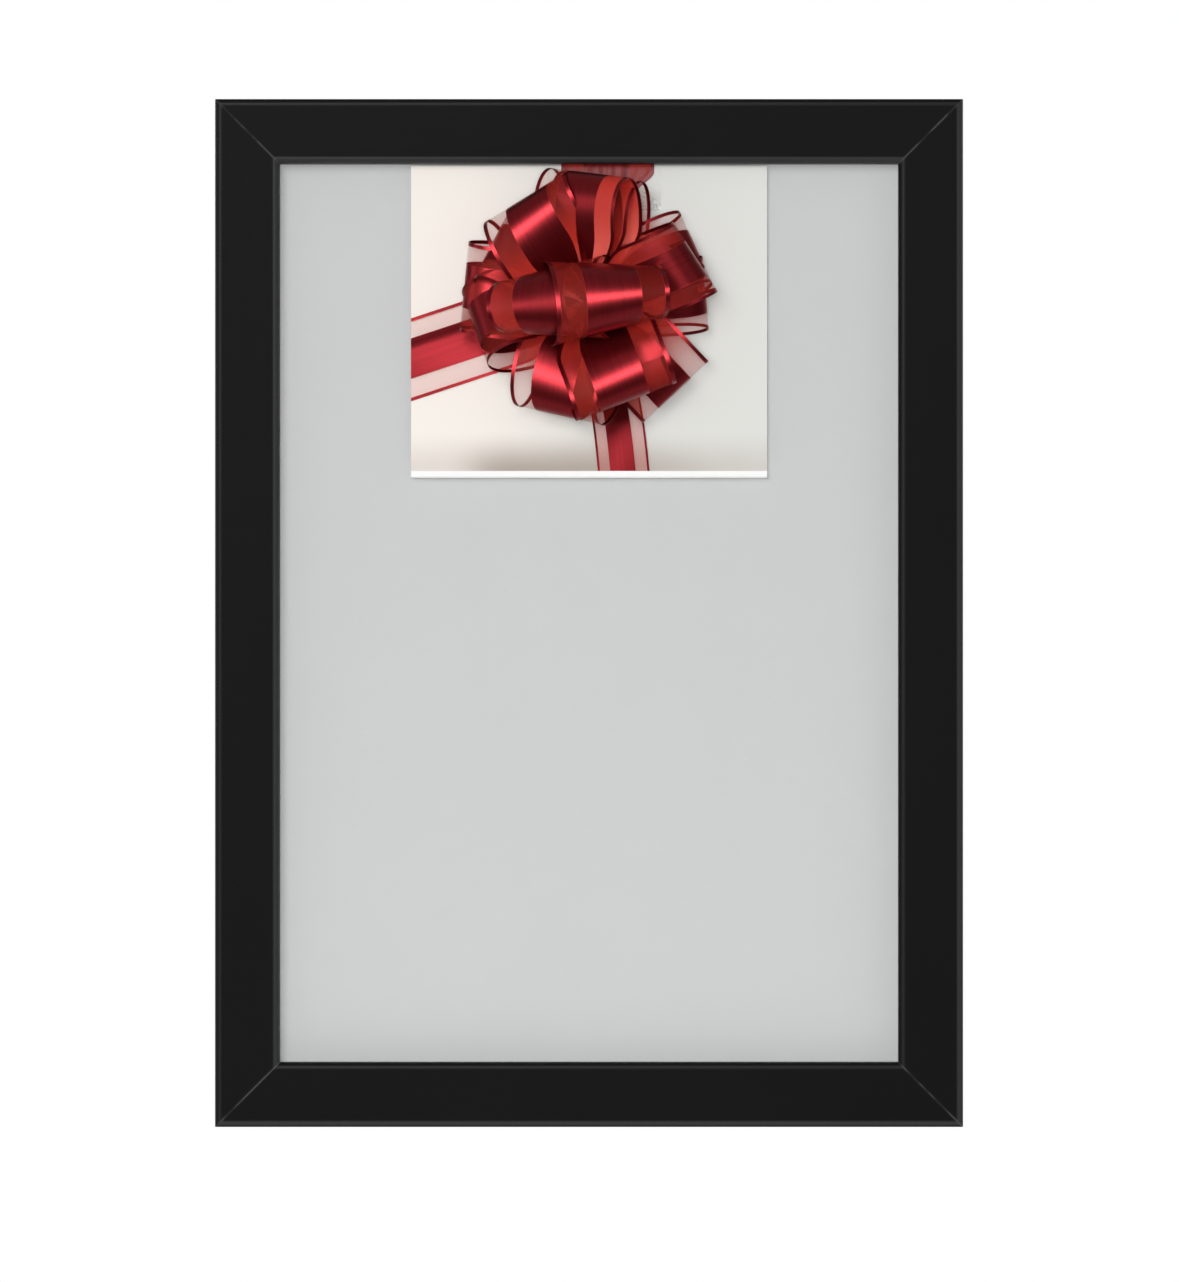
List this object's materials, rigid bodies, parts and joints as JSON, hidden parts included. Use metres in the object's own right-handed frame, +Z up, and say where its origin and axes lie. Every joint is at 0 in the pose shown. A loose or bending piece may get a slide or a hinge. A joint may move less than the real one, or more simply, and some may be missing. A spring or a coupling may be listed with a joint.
{
  "type": "hanging picture frame with ribbon bow",
  "caption": "Black mitred wall picture frame with a grey sheet behind glazing and a white card with a gathered red ribbon bow, hung by a ribbon strap from behind the top rail.",
  "frame": {"origin": "on the wall plane, midway between the two hanging rings", "axes": "+X to the viewer's right, +Y from the viewer to the wall, +Z up"},
  "size_m": [0.2326, 0.0598, 0.3195],
  "materials": {
    "moulding": "satin black lacquer on a wood moulding",
    "steel": "zinc plated steel",
    "glazing": "clear picture glazing",
    "grey_board": "uncoated light grey mount board",
    "hardboard": "raw hardboard",
    "bumper": "soft black rubber",
    "card": "smooth white card",
    "ribbon": "red sheer ribbon with a satin centre stripe and satin edges",
    "thread": "red gathering cord",
    "tape": "clear adhesive tape"
  },
  "bodies": {
    "frame": {"rail_top": "moulding", "rail_right": "moulding", "rail_bottom": "moulding", "rail_left": "moulding", "v_nail_top_left": "steel", "v_nail_top_right": "steel", "v_nail_bottom_left": "steel", "v_nail_bottom_right": "steel", "glazing": "glazing", "mount_board": "grey_board", "backing_board": "hardboard", "turn_button_screw_top": "steel", "turn_button_screw_bottom": "steel", "turn_button_screw_left_upper": "steel", "turn_button_screw_left_lower": "steel", "turn_button_screw_right_upper": "steel", "turn_button_screw_right_lower": "steel", "hanger_strap_left": "steel", "hanger_screw_left": "steel", "bumper_left": "bumper", "hanger_strap_right": "steel", "hanger_screw_right": "steel", "bumper_right": "bumper", "strap_tuck": "ribbon"},
    "hanging_bow": {"bow_card": "card", "bow_strap": "ribbon", "strap_tape": "tape", "bow_ribbon": "ribbon", "gather_tie": "thread", "tail_left": "ribbon", "tail_lower": "ribbon"},
    "turn_button_top": {"turn_button_top": "steel"},
    "turn_button_bottom": {"turn_button_bottom": "steel"},
    "turn_button_left_upper": {"turn_button_left_upper": "steel"},
    "turn_button_left_lower": {"turn_button_left_lower": "steel"},
    "turn_button_right_upper": {"turn_button_right_upper": "steel"},
    "turn_button_right_lower": {"turn_button_right_lower": "steel"},
    "hanger_ring_left": {"hanger_ring_left": "steel"},
    "hanger_ring_right": {"hanger_ring_right": "steel"}
  },
  "joints": [
    {"name": "bow_swing", "type": "hinge", "parent": "frame", "child": "hanging_bow", "pos_m": [0.0058, -0.01335, 0.04], "axis": [-1, 0, 0], "range_deg": [0, 25]},
    {"name": "turn_button_top_turn", "type": "hinge", "parent": "frame", "child": "turn_button_top", "pos_m": [0, -0.0041, 0.05462], "axis": [0, 1, 0], "continuous": true},
    {"name": "turn_button_bottom_turn", "type": "hinge", "parent": "frame", "child": "turn_button_bottom", "pos_m": [0, -0.0041, -0.25412], "axis": [0, 1, 0], "continuous": true},
    {"name": "turn_button_left_upper_turn", "type": "hinge", "parent": "frame", "child": "turn_button_left_upper", "pos_m": [-0.11088, -0.0041, -0.03775], "axis": [0, 1, 0], "continuous": true},
    {"name": "turn_button_left_lower_turn", "type": "hinge", "parent": "frame", "child": "turn_button_left_lower", "pos_m": [-0.11088, -0.0041, -0.16175], "axis": [0, 1, 0], "continuous": true},
    {"name": "turn_button_right_upper_turn", "type": "hinge", "parent": "frame", "child": "turn_button_right_upper", "pos_m": [0.11088, -0.0041, -0.03775], "axis": [0, 1, 0], "continuous": true},
    {"name": "turn_button_right_lower_turn", "type": "hinge", "parent": "frame", "child": "turn_button_right_lower", "pos_m": [0.11088, -0.0041, -0.16175], "axis": [0, 1, 0], "continuous": true},
    {"name": "hanger_ring_left_swing", "type": "hinge", "parent": "frame", "child": "hanger_ring_left", "pos_m": [-0.10237, -0.0027, 0], "axis": [0, 0, 1], "range_deg": [0, 150]},
    {"name": "hanger_ring_right_swing", "type": "hinge", "parent": "frame", "child": "hanger_ring_right", "pos_m": [0.10237, -0.0027, 0], "axis": [0, 0, -1], "range_deg": [0, 150]}
  ]
}
